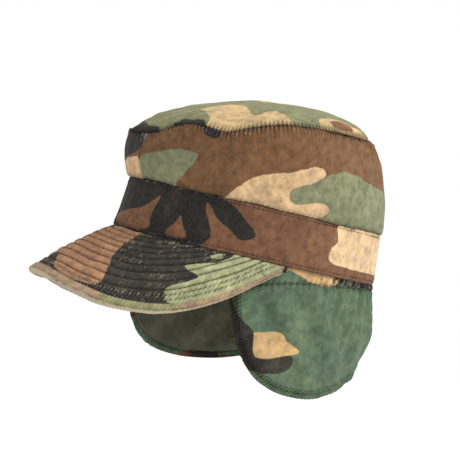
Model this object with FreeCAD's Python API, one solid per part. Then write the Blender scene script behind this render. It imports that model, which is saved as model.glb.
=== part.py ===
# Field cap with a quilted visor and a fold-up skirt of ear and nape flaps.
# Frame: origin at the centre of the head opening, +Z up, -Y towards the visor,
# +X towards the wearer's left ear. All sizes are in millimetres and degrees.
import FreeCAD, Part
import math
import os
from FreeCAD import Vector

os.makedirs("parts", exist_ok=True)

# Head opening and band. Angles run from the centre front (0) to the centre back (180).
band_half_length = 101.8
band_half_width = 85.6
band_height = 37.0
band_taper_length = 4.3
band_taper_width = 1.3

# Side crown: it swells above the band, then closes in to the crown seam, which leans forward.
crown_taper_length = 13.8
crown_taper_width = 1.6
crown_forward = 14.0
crown_seam_rise = 56.5
crown_seam_slope = 0.18
crown_swell_length = 11.3
crown_swell_width = 5.4
dome_rise = 23.0
dome_fullness = 1.2

# Cloth and what is sewn between it.
twill = 1.2
seam_gap = 0.15
interlining_thickness = 1.0
casing_thickness = 1.0
elastic_thickness = 0.8
sweatband_thickness = 1.1
sweatband_foot = 0.5
sweatband_top_margin = 4.5
interlining_margin = 2.0
tape_thickness = 0.8
tape_width = 10.0
label_thickness = 0.5
label_height = 18.0
label_base = 8.0
label_half_angle = 8.0
thread_width = 0.9
thread_height = 0.5
thread_gap = 0.1
thread_setback = 2.5

# Visor: reach past the band at the centre, and how far the rim hangs below the band at each angle.
visor_reach = 57.0
visor_corner_angle = 80.0
visor_fullness = 2.2
visor_rim_drop = ((0, 37.0), (20, 48.0), (42, 52.0), (60, 46.0), (74, 32.0), (90, 4.0))
visor_section_angles = (0, 12, 24, 36, 48, 59, 69, 78, 84)
visor_cloth = 0.9
visor_board = 1.6
visor_board_setback = 3.0
visor_gap = 0.12
visor_skirt_gap = 0.3
binding_width = 6.5
binding_cloth = 0.8
quilting_rows = 7
quilting_margin = 5.0

# Skirt: casing sewn under the band, then the flap cloth down to the hem. Each hem point
# is an angle round the opening and a depth below it.
skirt_front_angle = 58.0
casing_depth = 4.2
casing_tuck = 8.0
elastic_tuck = 6.0
elastic_half_angle = 55.0
fold_gap = 0.4
flap_cloth = 1.0
flap_lining = 0.9
panel_gap = 0.4
skirt_hem = ((58, 10.0), (61, 33.0), (65, 53.0), (70, 67.0), (76, 78.0), (84, 85.0), (97, 88.5),
             (115, 85.0), (132, 79.0), (154, 70.0), (180, 63.0))
panel_edges = {
    "ear_left": (58.0, 104.0),
    "quarter_left": (104.0, 150.0),
    "nape": (150.0, 210.0),
    "quarter_right": (210.0, 256.0),
    "ear_right": (256.0, 302.0),
}

# Derived sizes.
interlining_inset = twill + seam_gap
skirt_inset = interlining_inset + interlining_thickness + seam_gap
elastic_inset = skirt_inset + casing_thickness + seam_gap
sweatband_inset = elastic_inset + elastic_thickness + seam_gap
label_inset = sweatband_inset + sweatband_thickness + seam_gap
visor_stack = 2.0 * visor_cloth + visor_board + 2.0 * visor_gap
visor_proud = max(0.0, visor_stack + binding_cloth + visor_gap + visor_skirt_gap - skirt_inset)
ring_points = 32
far = 3.0 * max(band_half_length, band_half_width)


def plan_point(angle, half_length, half_width, centre_y=0.0):
    # A point on a plan ellipse, by its angle from the centre front.
    turn = math.radians(angle)
    return half_width * math.sin(turn), centre_y - half_length * math.cos(turn)


def ring(size):
    # A closed smooth loop: plan ellipse lifted onto a plane that rises towards the back.
    half_length, half_width, centre_y, height, slope = size
    points = []
    for step in range(ring_points):
        x, y = plan_point(360.0 * step / ring_points, half_length, half_width, centre_y)
        points.append(Vector(x, y, height + slope * y))
    curve = Part.BSplineCurve()
    curve.interpolate(Points=points, PeriodicFlag=True)
    return Part.Wire(curve.toShape())


def inset_size(size, inset, drop=0.0):
    half_length, half_width, centre_y, height, slope = size
    return half_length - inset, half_width - inset, centre_y, height - drop, slope


def tube(sizes, inset, thickness, straight=True):
    # The wall between a loft through the rings and the same loft set in by its thickness.
    outside = Part.makeLoft([ring(inset_size(size, inset)) for size in sizes], True, straight)
    inside = Part.makeLoft([ring(inset_size(size, inset + thickness)) for size in sizes], True, straight)
    return outside.cut(inside)


def band_size(height):
    # The band leans in slightly from the opening up to its top edge.
    share = height / band_height
    half_length = band_half_length - band_taper_length * share
    half_width = band_half_width - band_taper_width * share
    return half_length, half_width, 0.0, height, 0.0


def skirt_size(height):
    return band_half_length, band_half_width, 0.0, height, 0.0


def crown_size(share):
    # Side crown ring at a share of the way from the band's top edge to the crown seam.
    low = band_size(band_height)
    high = (band_half_length - crown_taper_length, band_half_width - crown_taper_width,
            -crown_forward, band_height + crown_seam_rise, crown_seam_slope)
    swell = (crown_swell_length, crown_swell_width, crown_forward * 0.14, 0.0, 0.0)
    middle = [0.5 * (a + b) + extra for a, b, extra in zip(low, high, swell)]
    weights = ((1.0 - share) ** 2, 2.0 * share * (1.0 - share), share ** 2)
    return tuple(weights[0] * a + weights[1] * b + weights[2] * c for a, b, c in zip(low, middle, high))


def wedge(start, end, half_length, half_width):
    # A tall sector from the centre line out past the cap, between two angles.
    corners = [Vector(0, 0, -far)]
    steps = 4
    for step in range(steps + 1):
        x, y = plan_point(start + (end - start) * step / steps, half_length, half_width)
        reach = far / math.hypot(x, y)
        corners.append(Vector(x * reach, y * reach, -far))
    corners.append(corners[0])
    return Part.Face(Part.makePolygon(corners)).extrude(Vector(0, 0, 2.0 * far))


def save(name, shape):
    solids = shape.Solids
    whole = solids[0] if len(solids) == 1 else Part.makeCompound(solids)
    whole.exportStep("parts/%s.step" % name)
    print("%-24s solids %d  valid %s  volume %.0f" % (name, len(solids), whole.isValid(), whole.Volume))


def make_band():
    save("outer_band", tube([band_size(0.0), band_size(band_height)], 0.0, twill))
    canvas = [band_size(interlining_margin), band_size(band_height - interlining_margin)]
    save("band_interlining", tube(canvas, interlining_inset, interlining_thickness))
    sweat = [band_size(sweatband_foot), band_size(band_height - sweatband_top_margin)]
    save("sweatband", tube(sweat, sweatband_inset, sweatband_thickness))
    label = tube([band_size(label_base), band_size(label_base + label_height)], label_inset, label_thickness)
    sector = wedge(180.0 - label_half_angle, 180.0 + label_half_angle, band_half_length, band_half_width)
    save("size_label", label.common(sector))
    rows = {"band_upper_thread": band_height - thread_setback, "band_lower_thread": thread_setback}
    for name, height in rows.items():
        row = [band_size(height - 0.5 * thread_width), band_size(height + 0.5 * thread_width)]
        save(name, tube(row, -thread_gap - thread_height, thread_height))


def make_crown():
    shares = (0.0, 0.25, 0.5, 0.75, 1.0)
    wall = tube([crown_size(share) for share in shares], 0.0, twill, False)
    half = Part.makeBox(far, 2.0 * far, 2.0 * far, Vector(0, -far, -far))
    other = Part.makeBox(far, 2.0 * far, 2.0 * far, Vector(-far, -far, -far))
    save("side_crown_left", wall.common(half))
    save("side_crown_right", wall.common(other))
    tape_share = tape_width / crown_seam_rise
    tape = [crown_size(1.0 - tape_share * step) for step in (1.1, 0.6, 0.1)]
    save("crown_seam_tape", tube(tape, twill + seam_gap, tape_thickness, False))
    row_share = 1.0 - thread_setback / crown_seam_rise
    row_half = 0.5 * thread_width / crown_seam_rise
    row = [crown_size(row_share - row_half), crown_size(row_share + row_half)]
    save("crown_seam_thread", tube(row, -thread_gap - thread_height, thread_height))
    seam = crown_size(1.0)
    outside = []
    inside = []
    for share in (1.0, 0.98, 0.93, 0.85, 0.74, 0.6, 0.44, 0.26, 0.08):
        lift = dome_rise * (1.0 - share ** 2) ** dome_fullness
        under = min(twill, 0.5 * lift)
        for rings, rise, inset in ((outside, lift, 0.0), (inside, lift - under, twill)):
            size = ((seam[0] - inset) * share, (seam[1] - inset) * share, seam[2], seam[3] + rise, seam[4])
            rings.append(ring(size))
    dome = Part.makeLoft(outside, True, True).cut(Part.makeLoft(inside, True, True))
    save("crown_top", dome)


rim_curve = Part.BSplineCurve()
rim_curve.interpolate(Points=[Vector(side * angle, drop, 0) for side, angle, drop in
                              [(-1, a, d) for a, d in reversed(visor_rim_drop[1:])] +
                              [(1, a, d) for a, d in visor_rim_drop]])


def rim_drop(turn):
    # Depth of the visor rim below the band, read from a smooth curve through its set depths.
    column = Part.makeLine(Vector(turn, -far, 0), Vector(turn, far, 0))
    hits = rim_curve.toShape().distToShape(column)[1]
    return hits[0][0].y


def power(value, exponent):
    return math.copysign(abs(value) ** exponent, value)


def visor_frame(turn):
    # The section line at one turn: its point on the band, its direction, length and upward normal.
    def ends(value):
        half_length = band_half_length + visor_proud
        half_width = band_half_width + visor_proud
        x, y = plan_point(value * visor_corner_angle / 90.0, half_length, half_width)
        root = Vector(x, y, -seam_gap)
        corner_x, corner_y = plan_point(visor_corner_angle, half_length, half_width)
        rad = math.radians(value)
        reach = band_half_length + visor_reach + corner_y
        bow = 2.0 / visor_fullness
        rim_x = corner_x * power(math.sin(rad), bow)
        rim = Vector(rim_x, corner_y - reach * power(math.cos(rad), bow), -rim_drop(value))
        return root, rim
    root, rim = ends(turn)
    root_a, rim_a = ends(turn - 2.0)
    root_b, rim_b = ends(turn + 2.0)
    along = (root_b + rim_b) - (root_a + rim_a)
    run = rim - root
    normal = along.cross(run)
    normal.normalize()
    if normal.dot(Vector(root.x, root.y, far)) < 0:
        normal = normal * -1.0
    length = run.Length
    run.normalize()
    return root, run, length, normal


def visor_strip(outline):
    # A solid whose section at each turn is the outline, given as (distance along, height above).
    sections = []
    turns = [-angle for angle in reversed(visor_section_angles[1:])] + list(visor_section_angles)
    for turn in turns:
        root, run, length, normal = visor_frame(turn)
        points = []
        for along, above in outline(length):
            points.append(root + run * along + normal * (above - visor_stack))
        points.append(points[0])
        sections.append(Part.makePolygon(points))
    return Part.makeLoft(sections, True, False)


def slab(start, end_setback, low, high):
    def outline(length):
        end = length - end_setback
        return ((start, low), (end, low), (end, high), (start, high))
    return outline


def make_visor():
    board_low = visor_cloth + visor_gap
    board_high = board_low + visor_board
    top_low = board_high + visor_gap
    top_high = top_low + visor_cloth
    edge = binding_cloth + visor_gap
    save("visor_under_cloth", visor_strip(slab(0.0, edge, 0.0, visor_cloth)))
    save("visor_board", visor_strip(slab(1.0, visor_board_setback, board_low, board_high)))
    save("visor_top_cloth", visor_strip(slab(0.0, edge, top_low, top_high)))

    def binding(length):
        inner = length - min(binding_width, 0.6 * length)
        lip = length - binding_cloth
        return ((inner, top_high + visor_gap), (lip, top_high + visor_gap), (lip, -visor_gap),
                (inner, -visor_gap), (inner, -edge), (length, -edge),
                (length, top_high + edge), (inner, top_high + edge))
    save("visor_edge_binding", visor_strip(binding))
    rows = []
    for row in range(quilting_rows):
        share = (row + 0.5) / quilting_rows

        def stitch_row(length, share=share):
            margin = min(quilting_margin, 0.2 * length)
            field = length - min(binding_width, 0.6 * length) - margin - 2.0 * thread_width
            along = margin + field * share
            low = top_high + thread_gap
            return ((along, low), (along + thread_width, low),
                    (along + thread_width, low + thread_height), (along, low + thread_height))
        rows.append(visor_strip(stitch_row))
    save("visor_quilting_thread", Part.makeCompound(rows))


def skirt_profile(top):
    # The skirt's side outline, from the fold line down to the hem, as a slab across the cap.
    half_length = band_half_length - skirt_inset
    points = []
    for angle, depth in skirt_hem:
        x, y = plan_point(angle, half_length, 0.0)
        points.append(Vector(-far, y, -depth))
    hem = Part.BSplineCurve()
    hem.interpolate(Points=points)
    start, end = points[0], points[-1]
    back = Vector(-far, end.y + far, end.z)
    corners = [end, back, Vector(-far, back.y, top), Vector(-far, start.y, top), start]
    edges = [hem.toShape()]
    edges += [Part.makeLine(a, b) for a, b in zip(corners, corners[1:])]
    return Part.Face(Part.Wire(edges)).extrude(Vector(2.0 * far, 0, 0))


def make_skirt():
    casing_rings = [skirt_size(-casing_depth), band_size(0.0), band_size(casing_tuck)]
    casing = tube(casing_rings, skirt_inset, casing_thickness)
    sector = wedge(skirt_front_angle, 360.0 - skirt_front_angle, band_half_length, band_half_width)
    save("flap_casing", casing.common(sector))
    elastic_rings = [skirt_size(thread_width - casing_depth), band_size(0.0), band_size(elastic_tuck)]
    elastic = tube(elastic_rings, elastic_inset, elastic_thickness)
    rear = wedge(180.0 - elastic_half_angle, 180.0 + elastic_half_angle, band_half_length, band_half_width)
    save("nape_elastic", elastic.common(rear))
    row_top = -thread_gap - thread_width
    row = tube([skirt_size(row_top - thread_width), skirt_size(row_top)],
               skirt_inset - thread_gap - thread_height, thread_height)
    clear_angle = visor_corner_angle + 2.0
    behind_visor = wedge(clear_angle, 360.0 - clear_angle, band_half_length, band_half_width)
    save("casing_thread", row.common(behind_visor))
    top = -casing_depth - fold_gap
    deepest = -max(depth for angle, depth in skirt_hem) - 10.0
    profile = skirt_profile(top)
    plies = {
        "cloth": (skirt_inset, flap_cloth),
        "lining": (skirt_inset + flap_cloth + seam_gap, flap_lining),
    }
    margin = math.degrees(0.5 * panel_gap / band_half_width)
    for ply, (inset, thickness) in plies.items():
        wall = tube([skirt_size(deepest), skirt_size(top)], inset, thickness).common(profile)
        for panel, (start, end) in panel_edges.items():
            sector = wedge(start + margin, end - margin, band_half_length, band_half_width)
            save("%s_flap_%s" % (panel, ply), wall.common(sector))


make_band()
make_crown()
make_visor()
make_skirt()
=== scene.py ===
import bpy
import math
import numpy as np
from mathutils import Matrix, Vector


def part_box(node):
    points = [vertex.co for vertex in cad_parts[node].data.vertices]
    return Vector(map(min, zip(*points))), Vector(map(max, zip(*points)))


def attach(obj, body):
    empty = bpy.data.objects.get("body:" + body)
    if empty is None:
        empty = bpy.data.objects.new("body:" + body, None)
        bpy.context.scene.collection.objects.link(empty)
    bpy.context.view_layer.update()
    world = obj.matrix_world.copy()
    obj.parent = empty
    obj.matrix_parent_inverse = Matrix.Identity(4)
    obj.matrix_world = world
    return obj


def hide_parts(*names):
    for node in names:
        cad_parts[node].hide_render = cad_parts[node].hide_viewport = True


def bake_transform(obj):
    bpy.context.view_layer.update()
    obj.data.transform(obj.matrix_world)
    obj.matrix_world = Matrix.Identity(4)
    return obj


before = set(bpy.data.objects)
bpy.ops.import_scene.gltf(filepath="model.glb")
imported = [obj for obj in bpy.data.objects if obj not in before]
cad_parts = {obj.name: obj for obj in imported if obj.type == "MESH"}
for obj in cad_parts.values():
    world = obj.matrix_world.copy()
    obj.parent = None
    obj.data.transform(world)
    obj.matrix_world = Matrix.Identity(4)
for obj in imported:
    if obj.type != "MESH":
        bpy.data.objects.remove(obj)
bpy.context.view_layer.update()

millimetre = 0.001

# The band's box gives the head opening; everything else is hung from it.
halfWidth, halfLength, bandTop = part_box("outer_band")[1]

camera = {"azimuth": 57.5, "elevation": -0.7, "roll": 13.2, "distance": 1.4, "lens": 149.8,
          "target": (0.0, 0.0, 0.04), "aside": 0.0196, "below": 0.0208}

band = {"taperLength": 0.0043, "taperWidth": 0.0013, "cloth": 0.0012, "columns": 720, "lump": 0.0005,
        "rows": (0.0026, 0.0345), "rowDepth": 0.0004, "rope": 0.0034}

# Side crown: rings between the band's top edge and the crown seam. The seam's height is given in
# millimetres at angles round from the centre front. A rope is one pucker along a seam.
crown = {"seamLength": 0.088, "seamWidth": 0.084, "forward": 0.014, "swellLength": 0.0052,
         "swellWidth": 0.004, "rearTuck": 0.011, "rearSwell": 0.0115, "columns": 361, "lump": 0.0013,
         "pleat": 0.0010, "cloth": 0.0012, "rope": 0.0029, "bandRope": 0.0036,
         "seamHeight": ((-180, 102.5), (-150, 102.5), (-120, 99.5), (-90, 92.5), (-60, 82), (-40, 73),
                        (-25, 69), (-12, 68.5), (0, 69.5), (12, 72.7), (25, 80), (35, 81.5), (47, 80.5),
                        (58, 88), (72, 94.5), (90, 97.5), (110, 99.5), (130, 99.5), (150, 101),
                        (180, 102.5))}

dome = {"height": 0.091, "slope": 0.18, "rise": 0.0200, "fullness": 0.60, "rearFullness": 0.52,
        "lump": 0.0016, "pleat": 0.0009, "reach": 0.088}

seamTape = {"width": 0.0115, "inside": 0.0026, "lower": 0.0022, "cloth": 0.0006}

visor = {"reach": 0.057, "corner": 80.0, "fullness": 2.2, "proud": -0.0012, "bulge": 0.004, "stack": 0.0034,
         "rimDrop": ((-90, 4), (-74, 30), (-60, 42), (-42, 46), (-20, 42.5), (0, 41.4), (20, 46.5), (42, 51),
                     (60, 46), (74, 32), (90, 4)),
         "rowSpacing": 0.0066, "firstRow": 0.0128, "rows": 7, "rowDepth": 0.0006, "puff": 0.0005,
         "edgeRows": (0.0060, 0.0092), "binding": 0.0052, "rowRope": 0.0031, "edgeRope": 0.0030,
         "rootRope": 0.0036, "cloth": 0.0008, "bindingCloth": 0.0006, "board": 0.0012}

skirt = {"inset": 0.0025, "front": 58.0, "cloth": 0.0012, "bulge": 0.0066, "bulgeDepth": 0.036,
         "hem": ((58, 10), (61, 33), (65, 53), (70, 67), (76, 78), (84, 85), (97, 88.5), (115, 85),
                 (132, 76), (154, 67), (180, 62)),
         "casing": ((58, 21), (66, 19), (74, 15), (84, 11), (99, 7.5), (115, 5.5), (140, 4.5), (180, 4.5)),
         "hemRows": (0.0035, 0.0062), "hemRope": 0.0031, "casingRope": 0.0042, "gather": 0.0048,
         "above": 0.0015, "lining": 0.0009, "foldStart": 0.005, "foldEnd": 0.020}

panels = {
    "ear_left": (58.0, 104.0),
    "quarter_left": (104.0, 150.0),
    "nape": (150.0, 210.0),
    "quarter_right": (210.0, 256.0),
    "ear_right": (256.0, 302.0),
}

thread = {"length": 0.0026, "pitch": 0.0034, "thick": 0.00042, "loose": 0.00022}

# Metres of cloth along one degree of turn, on the crown and band, the visor and the skirt.
arcScale = 0.0925 * math.pi / 180
visorArc = 0.0021
skirtArc = 0.00158

# Outlines are (angle, share or millimetres) on each piece, painted in the order given.
camouflage = {
    "crownSide": {"base": "brown", "scale": (1.55, 52.0), "seen": (-32, 150), "outlines": [
        ("green", ((0.8, -0.1), (0.8, 0.42), (8, 0.53), (23, 0.58), (33, 0.56), (34.5, 0.5), (29, 0.22),
                   (24, 0.03), (23, -0.1))),
        ("green", ((72, 0.05), (76, 0.27), (84, 0.38), (90, 0.47), (95, 0.54), (101, 0.58), (108, 0.57),
                   (114, 0.53), (128, 0.5), (142, 0.47), (156, 0.35), (160, -0.1), (80, -0.1))),
        ("cream", ((48, -0.08), (49, 0.04), (51.5, 0.13), (56, 0.27), (61.5, 0.37), (67.5, 0.41),
                   (73.5, 0.45), (80, 0.52), (85.5, 0.575), (89.5, 0.56), (90.5, 0.50), (88, 0.45),
                   (84, 0.38), (79, 0.32), (75.6, 0.27), (74.4, 0.18), (75.8, 0.12), (80, 0.115),
                   (87, 0.175), (91.5, 0.17), (93, 0.12), (91.5, 0.05), (87, -0.02), (80, -0.08))),
        ("black", ((35, 1.2), (35.5, 0.93), (38, 0.86), (42, 0.87), (44, 0.96), (44, 1.2))),
        ("black", ((-34, 0.36), (-20, 0.40), (-8, 0.50), (-1.0, 0.60), (0.0, 0.75), (4, 0.93), (14, 0.96),
                   (20, 1.2), (-50, 1.2), (-60, 0.6))),
        ("cream", ((-0.8, -0.1), (-0.8, 0.40), (-10, 0.41), (-20, 0.33), (-28, 0.15), (-30, -0.1))),
    ]},
    "crownTop": {"base": "green", "scale": (1.5, 86.0), "seen": (-60, 155), "outlines": [
        ("black", ((-30, 1.1), (-28, 0.94), (-12, 0.94), (-2, 0.965), (8, 0.985), (12, 1.1))),
        ("black", ((18, 1.1), (20, 0.978), (27, 0.972), (34, 0.978), (37, 1.1))),
        ("cream", ((6, 0.75), (18, 0.64), (28, 0.43), (38, 0.41), (46, 0.52), (51, 0.66), (55, 0.82),
                   (58, 0.86), (61, 0.80), (66, 0.77), (69, 0.82), (73, 1.1), (38, 1.1), (36, 0.96),
                   (31, 0.87), (25, 0.80), (15, 0.77))),
        ("cream", ((90, 1.1), (89, 0.97), (92, 0.86), (100, 0.80), (112, 0.82), (124, 0.90), (132, 1.1))),
        ("brown", ((97, 0.98), (97, 0.90), (104, 0.86), (112, 0.89), (113, 0.97), (105, 0.99))),
    ]},
    "band": {"base": "black", "scale": (1.55, 1.0), "seen": (-40, 150), "outlines": [
        ("brown", ((47, 39), (53, 32), (62.5, 20), (64.3, 15.5), (62.5, 12.3), (58.5, 10.3), (54.5, 14.5),
                   (47, 21.5), (43.5, 27.5), (40.8, 30), (41.5, 25), (45.5, 14), (46.5, 7), (46, -4),
                   (100, -6), (175, -6), (175, 42), (100, 42))),
        ("brown", ((-18, 8), (-2, 13.5), (9.5, 18.5), (17, 28), (15.8, 19), (15.2, 11), (14.5, 3),
                   (-10, 2))),
        ("brown", ((26, 6), (29, 12), (30.7, 18), (33, 12), (36, 3.5), (27, 2.5))),
        ("cream", ((105.5, 41), (102, 25), (99, 19), (98.3, 13), (101, 9.3), (108, 8.2), (128, 7.5),
                   (150, 8), (165, 20), (160, 41))),
    ]},
    "visor": {"base": "black", "scale": (1.3, 58.0), "seen": (-80, 90), "outlines": [
        ("brown", ((-70, -0.2), (14, -0.2), (15.5, 0.05), (17, 0.22), (21, 0.50), (25.5, 0.66),
                   (28, 0.86), (15, 0.92), (5, 0.90), (0, 0.84), (-5, 0.74), (-11, 0.73), (-17, 0.84),
                   (-30, 0.92), (-80, 0.92))),
        ("green", ((51.7, 0.36), (57, 0.30), (62.5, 0.23), (65.5, 0.06), (67, -0.2), (95, -0.2),
                   (95, 1.2), (60, 0.93), (54, 0.80), (52.6, 0.70), (59, 0.58), (59.4, 0.50),
                   (53.5, 0.42))),
        ("green", ((57, 0.13), (60, 0.05), (62, 0.12), (60, 0.18))),
    ]},
    "binding": {"base": "cream", "scale": (1.5, 30.0), "seen": (-80, 90), "outlines": [
        ("black", ((9, -1), (9, 0.30), (24, 0.34), (37, 0.32), (39, -1))),
        ("green", ((33, 2), (34, 0.5), (38, 0.34), (46, 0.3), (57, 0.3), (61, 0.5), (60, 2))),
        ("brown", ((60, 0.5), (62, 0.0), (76, -0.1), (84, 0.1), (80, 0.34), (66, 0.42))),
    ]},
    "skirt": {"base": "green", "scale": (1.5, 1.0), "seen": (50, 152), "outlines": [
        ("black", ((53, 16), (58.5, 20), (61, 30), (64.5, 39), (70.5, 46), (73, 51), (75.3, 64.5), (82, 65),
                   (90.7, 60), (92.6, 63.5), (92.4, 68), (90, 72), (81.6, 75.5), (75.6, 75), (70, 76),
                   (60, 70), (52, 50))),
        ("cream", ((73, 51), (74, 48.8), (77.3, 47.6), (81.7, 45.8), (85, 46.5), (88, 51), (93, 54.5),
                   (93.6, 57), (90, 60), (83.5, 63.7), (75.6, 65))),
        ("cream", ((79, -4), (80, 1.5), (85, 3), (90.5, 5.6), (96, 7.6), (102, 7.4), (107, 6.4),
                   (108, 3), (105, -4))),
        ("black", ((106, -4), (109, 2.5), (114, 4.4), (128, 3.8), (150, 4.4), (156, 2), (156, -4))),
    ]},
}

colours = {
    "crownSide": {"brown": "785539", "green": "828767", "black": "2f2d2c", "cream": "d8b68c"},
    "crownTop": {"brown": "8b6045", "green": "8c8c66", "black": "3a3b33", "cream": "d6b888"},
    "band": {"brown": "7a543d", "green": "5f6b52", "black": "262423", "cream": "dcbd95"},
    "visor": {"brown": "b58765", "green": "adb186", "black": "373330", "cream": "cfb48c"},
    "binding": {"brown": "855c40", "green": "9c9a72", "black": "2c2825", "cream": "b0957a"},
    "skirt": {"brown": "6f4c35", "green": "586f57", "black": "2d2927", "cream": "cfab79"},
}


def linear(code, lift=0.60):
    # Turns a six-figure colour code into the linear values that shaders use.
    parts = [int(code[k:k + 2], 16) / 255.0 for k in (0, 2, 4)]
    return [lift * (c / 12.92 if c <= 0.04045 else ((c + 0.055) / 1.055) ** 2.4) for c in parts] + [1.0]


def lumps(points, size, seed):
    # Smooth random heights, one lump about every size metres, from -1 to 1.
    cells = 29
    table = np.random.default_rng(seed).uniform(-1.0, 1.0, (cells, cells, cells))
    spot = points / size + 7.3
    base = np.floor(spot).astype(int)
    part = spot - base
    part = part * part * (3.0 - 2.0 * part)
    total = np.zeros(len(points))
    for dx in (0, 1):
        for dy in (0, 1):
            for dz in (0, 1):
                step = np.array((dx, dy, dz))
                near = np.abs(1 - step - part)
                cell = (base + step) % cells
                total += near[:, 0] * near[:, 1] * near[:, 2] * table[cell[:, 0], cell[:, 1], cell[:, 2]]
    return total


def crumple(points, size, seed):
    return lumps(points, size, seed) + 0.5 * lumps(points, size * 0.47, seed + 1)


def smoothStep(low, high, value):
    share = np.clip((value - low) / (high - low), 0.0, 1.0)
    return share * share * (3.0 - 2.0 * share)


def through(knots, x):
    # A smooth curve through a short list of points.
    xs = np.array([k[0] for k in knots], float)
    ys = np.array([k[1] for k in knots], float)
    slopes = np.gradient(ys, xs)
    x = np.clip(x, xs[0], xs[-1])
    index = np.clip(np.searchsorted(xs, x) - 1, 0, len(xs) - 2)
    width = xs[index + 1] - xs[index]
    t = (x - xs[index]) / width
    a = (1 + 2 * t) * (1 - t) ** 2 * ys[index] + t * (1 - t) ** 2 * width * slopes[index]
    return a + t * t * (3 - 2 * t) * ys[index + 1] + t * t * (t - 1) * width * slopes[index + 1]


def signed(angle):
    return (angle + 180.0) % 360.0 - 180.0


def fromFront(angle):
    return np.abs(signed(angle))


def unit(vectors, least=1e-12):
    return vectors / np.maximum(np.linalg.norm(vectors, axis=-1), least)[..., None]


def levelOut(points):
    # The level direction away from the cap's middle.
    return unit(points * np.array([1.0, 1.0, 0.0]))


def facingUp(normal):
    return normal * np.where(normal[..., 2:3] < 0, -1.0, 1.0)


def bandPoint(angle, height):
    share = height / bandTop
    turn = np.radians(angle)
    x = (halfWidth - band["taperWidth"] * share) * np.sin(turn)
    y = -(halfLength - band["taperLength"] * share) * np.cos(turn)
    return np.stack([x, y, height + 0 * turn], -1)


def seamHeight(angle):
    return through(crown["seamHeight"], signed(angle)) * millimetre


def seamLength(angle):
    return crown["seamLength"] - crown["rearTuck"] * smoothStep(80, 150, fromFront(angle))


def crownPoint(angle, share):
    turn = np.radians(angle)
    swell = np.maximum(4 * share * (1 - share), 0.0) ** 0.6
    lowLength = halfLength - band["taperLength"]
    lowWidth = halfWidth - band["taperWidth"]
    rear = smoothStep(90, 145, fromFront(angle))
    length = lowLength + (seamLength(angle) - lowLength) * share
    length = length + crown["swellLength"] * swell * (1 - 0.35 * rear)
    length = length + crown["rearSwell"] * rear * share * swell
    width = lowWidth + (crown["seamWidth"] - lowWidth) * share + crown["swellWidth"] * swell
    centre = -crown["forward"] * np.maximum(share, 0.0) ** 1.2
    height = bandTop + (seamHeight(angle) - bandTop) * share
    return np.stack([width * np.sin(turn), centre - length * np.cos(turn), height], -1)


def domePoint(angle, share):
    turn = np.radians(angle)
    y = -crown["forward"] - seamLength(angle) * share * np.cos(turn)
    edge = dome["height"] - dome["slope"] * seamLength(angle) * np.cos(turn)
    height = dome["height"] + dome["slope"] * (y + crown["forward"])
    height = height + share ** 3 * (seamHeight(angle) - edge)
    rear = smoothStep(-0.3, 0.6, -share * np.cos(turn + 0.4))
    power = dome["fullness"] + (dome["rearFullness"] - dome["fullness"]) * rear
    height = height + dome["rise"] * np.maximum(1 - share ** 2, 0.0) ** power
    return np.stack([crown["seamWidth"] * share * np.sin(turn), y, height], -1)


def visorEnds(turn):
    length = halfLength + visor["proud"]
    width = halfWidth + visor["proud"]
    at = np.radians(turn * visor["corner"] / 90.0)
    root = np.stack([width * np.sin(at), -length * np.cos(at), 0 * at - 0.0002], -1)
    corner = math.radians(visor["corner"])
    cornerX = width * math.sin(corner)
    cornerY = -length * math.cos(corner)
    bow = 2.0 / visor["fullness"]
    rad = np.radians(turn)
    across = np.sign(np.sin(rad)) * np.abs(np.sin(rad)) ** bow
    ahead = np.sign(np.cos(rad)) * np.abs(np.cos(rad)) ** bow
    reach = halfLength + visor["reach"] + cornerY
    drop = through(visor["rimDrop"], turn) * millimetre
    rim = np.stack([cornerX * across, cornerY - reach * ahead, -drop], -1)
    return root, rim


def visorPoint(turn, share):
    root, rim = visorEnds(turn)
    point = root + (rim - root) * share[..., None]
    point[..., 2] += visor["bulge"] * 4 * share * (1 - share) * smoothStep(90, 60, np.abs(turn))
    return point


def rimDistance(turn, share):
    # Distance from the visor's rim, measured square to it over the cloth.
    root, rim = visorEnds(turn)
    before = visorEnds(turn - 0.5)[1]
    after = visorEnds(turn + 0.5)[1]
    run = rim - root
    length = np.linalg.norm(run, axis=-1)
    along = unit(after - before)
    square = np.linalg.norm(np.cross(run, along), axis=-1) / np.maximum(length, 1e-6)
    return (1.0 - share) * length * square


def hemDepth(angle):
    return through(skirt["hem"], fromFront(angle)) * millimetre


def skirtPoint(angle, depth):
    turn = np.radians(angle)
    side = fromFront(angle)
    length = halfLength - skirt["inset"]
    width = halfWidth - skirt["inset"]
    swing = np.sin(np.clip(depth / (2 * skirt["bulgeDepth"]), 0, 1) * math.pi)
    out = skirt["bulge"] * smoothStep(95, 150, side) * swing
    out = out + 0.0015 * smoothStep(0.006, 0.03, depth)
    return np.stack([(width + out) * np.sin(turn), -(length + out) * np.cos(turn), -depth], -1)


def normalsOf(place, u, v, stepU, stepV):
    across = place(u + stepU, v) - place(u - stepU, v)
    up = place(u, v + stepV) - place(u, v - stepV)
    return unit(np.cross(across, up))


def deselect():
    bpy.ops.object.select_all(action="DESELECT")


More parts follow.
